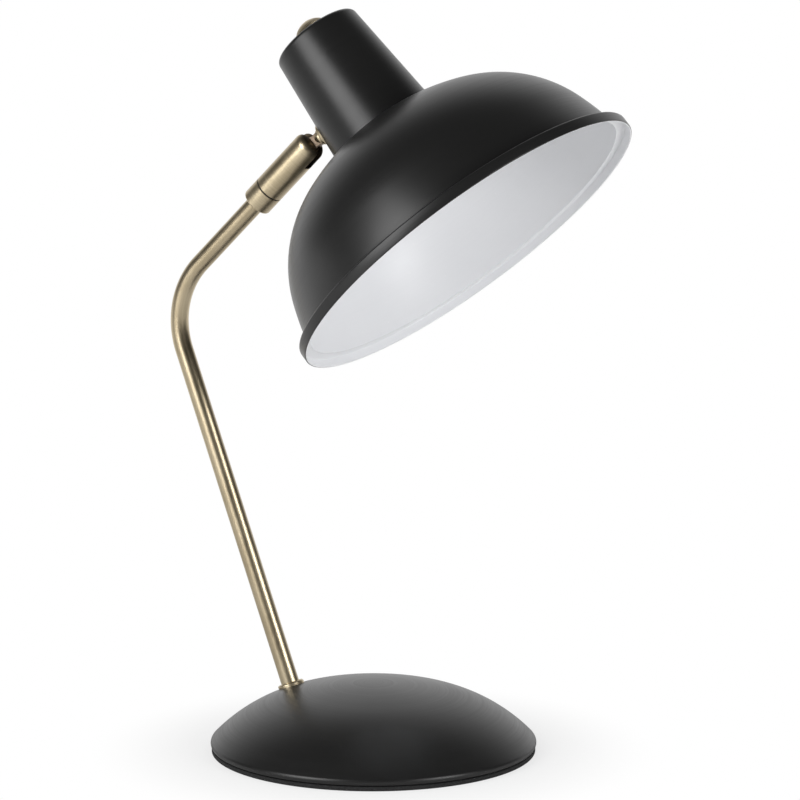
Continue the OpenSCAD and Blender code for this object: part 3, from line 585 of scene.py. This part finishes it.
for vert in dish.verts:
    if vert.co.z > wall_z - 0.01:
        vert.co.z += neck_curve - math.sqrt(neck_curve ** 2 - vert.co.y ** 2)
set_in("dished_washer", dish, at_tongue, [brass_turned], "head", "aged_brass", "rosette_washer")
carried(plated, "saddle_washer", "tongue_nut")


# Shade. A dome spun from steel sheet with a stepped rim, a flat ledge and an upright lip, coated
# satin black outside and white inside. The lampholder passes through the hole in its crown.
SHADE_R, SHADE_WALL, LEDGE_W, LIP_H, SHADE_DEPTH, SHADE_HOLE = 100.0, 1.2, 5.2, 4.6, 78.1, 19.2
SHADE_SLOPES, SHADE_SIDE_A, SHADE_SIDE_R = (0, 26.2, 70.9), 79.5, 153.0
crown_z = NECK_TOP - NECK_H
lip_z = crown_z - SHADE_DEPTH
ledge_z = lip_z + LIP_H
shade_arcs = dome(SHADE_R - LEDGE_W, crown_z - ledge_z, crown_z, SHADE_SLOPES, SHADE_SIDE_R, SHADE_SIDE_A)


def crown_height(radius, inset=0.0):
    """Height of the shade's crown, outside or drawn in by inset."""
    mid, r = shade_arcs[0]
    return mid[1] + math.sqrt((r - inset) ** 2 - radius ** 2)


def shade_side(inset, low):
    """The dome's outline from its hole down to the height low."""
    line = [point for point in dome_line(shade_arcs, (*SHADE_SLOPES, SHADE_SIDE_A), inset)
            if point[0] > SHADE_HOLE + 0.5 and point[1] > low + 0.5]
    mid, r = shade_arcs[2]
    foot = (mid[0] + math.sqrt((r - inset) ** 2 - (low - mid[1]) ** 2), low)
    return [(SHADE_HOLE, crown_height(SHADE_HOLE, inset)), *line, foot]


ledge_top = ledge_z + SHADE_WALL
fillet, corner_r, lip_edge, inner_edge = 0.8, 1.0, 0.5, 0.4
side_mid, side_r = shade_arcs[2]
fillet_z = ledge_top + fillet
fillet_a = math.acos((fillet_z - side_mid[1]) / (side_r + fillet))
fillet_x = side_mid[0] + (side_r + fillet) * math.sin(fillet_a)
outer = (shade_side(0, fillet_z - fillet * math.cos(fillet_a))
         + arc((fillet_x, fillet_z), fillet, math.degrees(fillet_a) + 180, 180, 15)[1:]
         + arc((SHADE_R - corner_r, ledge_top - corner_r), corner_r, 0, 90, 15)
         + arc((SHADE_R - lip_edge, lip_z + lip_edge), lip_edge, 90, 180, 20))
lip_inside = SHADE_R - SHADE_WALL
inner = (arc((lip_inside + lip_edge, lip_z + lip_edge), lip_edge, 180, 270, 20)
         + arc((lip_inside - inner_edge, ledge_z - inner_edge), inner_edge, 90, 0, 30)
         + shade_side(SHADE_WALL, ledge_z)[::-1] + [(SHADE_HOLE, crown_height(SHADE_HOLE))])
inner.insert(0, outer[-1])
coat_white = finish("coat_white", powder((0.82, 0.83, 0.855), (0.88, 0.885, 0.90), 0.36, 0.002))
set_in("shade_shell", turned(outer, inner, steps=256), at_head, [coat_black, coat_white], "head",
       "black_coat", "shade_dome")


# Neck. A tapered cup with a rounded top edge, spun and coated like the shade, and clamped between
# the knob's bushing and the shade. A hole under the dished washer takes the tongue's stem.
NECK_WALL, NECK_EDGE, BUSHING_R = 1.2, 2.5, 5.0
ROUND_THE_STEM = (24, 12, 6, 0, -6, -12)
lean_deg = math.degrees(neck_lean)
edge_mid = (NECK_TOP_R + neck_rate * NECK_EDGE - NECK_EDGE / math.cos(neck_lean), NECK_TOP - NECK_EDGE)


def neck_radius(height, inset=0.0):
    return NECK_TOP_R + neck_rate * (NECK_TOP - height) - inset / math.cos(neck_lean)


def neck_side(inset):
    """The neck's outline from its hole to the shade, with short faces round the stem's hole."""
    foot_r = NECK_FOOT_R
    for _ in range(6):
        foot_r = neck_radius(crown_height(foot_r), inset)
    top = NECK_TOP - inset
    heights = (*ROUND_THE_STEM, crown_height(foot_r))
    return ([(BUSHING_R + 0.1, top)] + arc(edge_mid, NECK_EDGE - inset, 0, 90 - lean_deg, 8)
            + [(neck_radius(height, inset), height) for height in heights])


neck_line = neck_side(0) + neck_side(NECK_WALL)[::-1] + [(BUSHING_R + 0.1, NECK_TOP)]
stem_way = at_head.inverted() @ at_tongue
stem_way.translation /= MM
neck_mesh = cut(turned(neck_line, steps=192), pin_shape(STEM_R + 0.1, TONGUE_LEN, stem_end, stem_way))
set_in("neck_shell", neck_mesh, at_head, [coat_black], "head", "black_coat", "neck_cup")


# Lampholder. A moulded black barrel with a rounded mouth, its cap over the switch a CAD node, and
# a ring nut with grip ribs that clamps the shade from below.
HOLDER_R, HOLDER_MOUTH, HOLDER_CAP, SHELL_TOP, CONTACT_TOP = 19.0, -30.0, 5.5, -4.5, -0.5
SHELL_R, SHELL_WALL, SHELL_END, RING_FLANGE_R, RING_COLLAR_R = 13.4, 0.6, -27.5, 27.0, 21.4
CONTACT_SEAT_R, FLANGE_FOOT, COLLAR_FOOT = 4, -24.7, -27.7
RIBS, RIB_DEPTH = 60, 0.4


def black_moulding(spot):
    grain = spot.noise(1.6, 3.0, 0.6)
    return {"Base Color": grain.blend((0.014, 0.014, 0.014), (0.026, 0.026, 0.027)),
            "Roughness": 0.34 + grain * 0.16, "Normal": grain.bump(0.012)}


moulded = finish("moulding_black", black_moulding)
bore_r = SHELL_R + SHELL_WALL + 0.1
holder_line = ([(0, HOLDER_CAP), (HOLDER_R - 0.4, HOLDER_CAP), (HOLDER_R, HOLDER_CAP - 0.4)]
               + arc((HOLDER_R - 0.8, HOLDER_MOUTH + 0.8), 0.8, 90, 180, 15)
               + arc((bore_r + 0.6, HOLDER_MOUTH + 0.6), 0.6, 180, 270, 20)
               + [(bore_r, SHELL_TOP), (CONTACT_SEAT_R, SHELL_TOP), (CONTACT_SEAT_R, CONTACT_TOP),
                  (0, CONTACT_TOP)])
set_in("holder_barrel", turned(holder_line), at_head, [moulded], "head", "black_plastic", "lampholder_body")
carried(plain("moulding_plain", black_moulding), "holder_cap")

ring_inside = HOLDER_R + 0.02
under = [(r, crown_height(r, SHADE_WALL) - 0.02) for r in (ring_inside, 21, 23, 25, RING_FLANGE_R - 0.3)]
clamp_line = (under + [(RING_FLANGE_R, under[-1][1] - 0.4), (RING_FLANGE_R, FLANGE_FOOT + 0.4),
                       (RING_FLANGE_R - 0.4, FLANGE_FOOT), (RING_COLLAR_R, FLANGE_FOOT)]
              + arc((RING_COLLAR_R - 0.5, COLLAR_FOOT + 0.5), 0.5, 90, 180, 20)
              + [(ring_inside, COLLAR_FOOT), under[0]])
clamp_ring = turned(clamp_line, steps=4 * RIBS)
for vert in clamp_ring.verts:
    if vert.co.xy.length > RING_FLANGE_R - 0.1:
        angle = math.atan2(vert.co.y, vert.co.x)
        vert.co.xy *= 1 - RIB_DEPTH * (1 - math.cos(RIBS * angle)) / 2 / RING_FLANGE_R
set_in("clamp_ring", clamp_ring, at_head, [moulded], "head", "black_plastic", "shade_ring")


# Screw shell. A thin brass cup rolled with the lamp's thread, from its open mouth to just short of
# its floor. The contact in the floor is a CAD node.
THREAD_PITCH, THREAD_DEPTH, THREAD_ROWS, SHELL_HOLE_R = 3.62, 0.45, 56, 5
shell_floor = SHELL_TOP - SHELL_WALL
rows = [shell_floor + (SHELL_END - shell_floor) * i / THREAD_ROWS for i in range(THREAD_ROWS + 1)]
shell_line = ([(SHELL_HOLE_R, shell_floor)] + [(SHELL_R, z) for z in rows]
              + [(SHELL_R + SHELL_WALL, z) for z in reversed(rows)]
              + [(SHELL_R + SHELL_WALL, SHELL_TOP), (SHELL_HOLE_R, SHELL_TOP), (SHELL_HOLE_R, shell_floor)])
threaded = turned(shell_line)
for vert in threaded.verts:
    turn = math.atan2(vert.co.y, vert.co.x) + math.tau * vert.co.z / THREAD_PITCH
    if vert.co.xy.length > SHELL_R - 1 and SHELL_END + 1 < vert.co.z < SHELL_TOP - 2:
        vert.co.xy *= 1 - THREAD_DEPTH * (1 - math.cos(turn)) / 2 / SHELL_R
brass_rolled = finish("brass_rolled", brass(round_lines, 0.22, (0.52, 0.41, 0.22), (0.70, 0.57, 0.33)))
set_in("thread_shell", threaded, at_head, [brass_rolled], "head", "aged_brass", "screw_shell")
carried(brass_plain, "centre_contact")


# Switch knob. A turned brass knob with a reeded side and a domed top, pushed onto the switch's
# shaft over the thin steel nut on the neck.
KNOB_R, KNOB_FOOT, KNOB_EDGE, KNOB_TOP, KNOB_REEDS = 9.5, 40.1, 44.1, 48.7, 76
REED_DEPTH, REED_END, CROWN_STEP, RECESS_R, RECESS_H, SHAFT_R = 0.3, 5.0, 0.5, 8.2, 2.2, 2.5
SOCKET_END, SIDE_STEP = KNOB_EDGE + 0.6, 0.2
crown_edge, crown_h = KNOB_R - CROWN_STEP, KNOB_TOP - KNOB_EDGE
crown_ball = crown_edge ** 2 / (2 * crown_h) + crown_h / 2
crown_angle = math.degrees(math.asin(crown_edge / crown_ball))
knob_line = ([(0, KNOB_TOP)] + arc((0, KNOB_TOP - crown_ball), crown_ball, 0, crown_angle, 4)[1:]
             + [(KNOB_R - SIDE_STEP, KNOB_EDGE), (KNOB_R, KNOB_EDGE - CHAMFER), (KNOB_R, KNOB_FOOT + CHAMFER),
                (KNOB_R - SIDE_STEP, KNOB_FOOT), (RECESS_R, KNOB_FOOT), (RECESS_R, KNOB_FOOT + RECESS_H),
                (SHAFT_R, KNOB_FOOT + RECESS_H), (SHAFT_R, SOCKET_END), (0, SOCKET_END)])
knob = turned(knob_line, steps=4 * KNOB_REEDS)
for vert in knob.verts:
    if vert.co.z > KNOB_EDGE + 0.7 or vert.co.xy.length > KNOB_R - 0.25:
        angle = math.atan2(vert.co.y, vert.co.x)
        share = min(max((vert.co.xy.length - REED_END) / (crown_edge - REED_END), 0), 1)
        vert.co.xy *= 1 - REED_DEPTH * share * (1 - math.cos(KNOB_REEDS * angle)) / 2 / KNOB_R


def reeded(spot):
    """Antique brass, painted dark between the reeds as painted shade."""
    turn = spot.part(1).math("ARCTAN2", spot.part(1), spot.part(0)) * KNOB_REEDS
    top = turn.math("COSINE", turn, 0.0) * 0.5 + 0.5
    share = spot.radius().between(REED_END, crown_edge)
    # The reeds' valleys are painted dark: painted shade.
    painted_valley_shade = share * (1 - top.between(0.1, 0.75))
    base = brass(round_lines)(spot)
    return {**base, "Base Color": painted_valley_shade.blend(base["Base Color"], (0.05, 0.042, 0.032)),
            "Roughness": base["Roughness"] + painted_valley_shade * 0.3}


set_in("reeded_knob", knob, at_head, [finish("brass_reeded_painted_shade", reeded)], "knob", "aged_brass", "switch_knob")
carried(brass_plain, "switch_shaft")
carried(plated, "bushing_nut")


# Floor and light. The floor and the air behind the lamp show white to the camera, and the floor
# keeps the lamp's soft shadow. Behind the lamp the studio is bright, and in front it is dimmer.
CAMERA_PLACE, CAMERA_TILT, CAMERA_TURN = (0.9437, -1.6203, 0.4892), 80.743, 29.798
FOCAL_PIXELS, PICTURE, SENSOR = 3713.34, 800, 36.0
turn = math.radians(CAMERA_TURN)
ahead, right = Vector((-math.sin(turn), math.cos(turn), 0)), Vector((math.cos(turn), math.sin(turn), 0))


def rays(tree):
    """Whether a ray comes from the camera, and whether it comes from metal or glass."""
    path = Value(tree).node("ShaderNodeLightPath", {}, {}, "Is Camera Ray")
    glossy, through = (Value(tree, path.socket.node.outputs[name])
                       for name in ("Is Glossy Ray", "Is Transmission Ray"))
    return path, glossy.math("MAXIMUM", glossy, through)


def joined(tree, value, node, key):
    tree.links.new(value.socket, tree.nodes[node].inputs[key])


FRONT_SEEN, FRONT_LIGHT, BACK_LIGHT = 0.05, 0.35, 0.90
world = bpy.data.worlds.new("studio")
world.use_nodes = True
bpy.context.scene.world = world
tree = world.node_tree
seen, mirrored = rays(tree)
way_out = seen.node("ShaderNodeTexCoord", {}, {}, "Generated")
behind = way_out.node("ShaderNodeVectorMath", {"operation": "DOT_PRODUCT"}, {0: way_out, 1: ahead}, "Value")
behind = behind.between(0.30, 0.92)
shown = FRONT_SEEN + behind * (1 - FRONT_SEEN)
lit = FRONT_LIGHT + behind * (BACK_LIGHT - FRONT_LIGHT)
around = lit + mirrored * (shown - lit)
joined(tree, around + seen * (1 - around), "Background", "Strength")
tree.nodes["Background"].inputs["Color"].default_value = (1, 1, 1, 1)

FLOOR_GLOW = 0.7
disc = bmesh.new()
bmesh.ops.create_circle(disc, cap_ends=True, segments=64, radius=12)
floor_mesh = bpy.data.meshes.new("floor")
disc.to_mesh(floor_mesh)
floor = bpy.data.objects.new("floor", floor_mesh)
bpy.context.scene.collection.objects.link(floor)
paper_white = bpy.data.materials.new("paper_white")
paper_white.use_nodes = True
floor_mesh.materials.append(paper_white)
tree = paper_white.node_tree
seen, mirrored = rays(tree)
place = seen.node("ShaderNodeTexCoord", {}, {}, "Object")
away = place.radius().between(0.075, 0.15)
beyond = place.node("ShaderNodeVectorMath", {"operation": "DOT_PRODUCT"}, {0: place, 1: ahead}, "Value")
glow = seen * (FLOOR_GLOW + away * (1 - FLOOR_GLOW)) + mirrored * beyond.between(0.1, 0.6)
paper = seen.node("ShaderNodeBsdfDiffuse", {}, {"Color": (0.8, 0.8, 0.8, 1)})
white = seen.node("ShaderNodeEmission", {}, {"Color": (1, 1, 1, 1), "Strength": 1.0})
shown_floor = seen.node("ShaderNodeMixShader", {}, {0: glow, 1: paper, 2: white})
joined(tree, shown_floor, "Material Output", "Surface")


def softbox(name, place, aim, size, watts):
    light = bpy.data.lights.new(name, "AREA")
    light.shape, light.size, light.size_y, light.energy = "RECTANGLE", *size, watts
    lamp = bpy.data.objects.new(name, light)
    lamp.matrix_world = (Matrix.Translation(place)
                         @ (Vector(place) - Vector(aim)).to_track_quat("Z", "Y").to_matrix().to_4x4())
    bpy.context.scene.collection.objects.link(lamp)


MIDDLE = Vector((0, 0, 0.25))


def around_lamp(degrees, reach, height):
    """A place by its angle to the right of the camera, its reach and its height."""
    a = math.radians(degrees)
    return MIDDLE + (right * math.sin(a) - ahead * math.cos(a)) * reach + Vector((0, 0, height - MIDDLE.z))


softbox("left_box", around_lamp(-49, 1.3, 0.64), around_lamp(0, 0, 0.3), (0.75, 0.9), 12)
softbox("right_box", around_lamp(50, 1.4, 0.46), around_lamp(0, 0, 0.3), (0.55, 0.7), 8)

view = bpy.data.cameras.new("view")
view.sensor_width, view.lens, view.clip_end = SENSOR, SENSOR * FOCAL_PIXELS / PICTURE, 100
camera = bpy.data.objects.new("view", view)
camera.location = CAMERA_PLACE
camera.rotation_euler = (math.radians(CAMERA_TILT), 0, turn)
bpy.context.scene.collection.objects.link(camera)
bpy.context.scene.camera = camera
bpy.context.scene.view_settings.view_transform = "Standard"
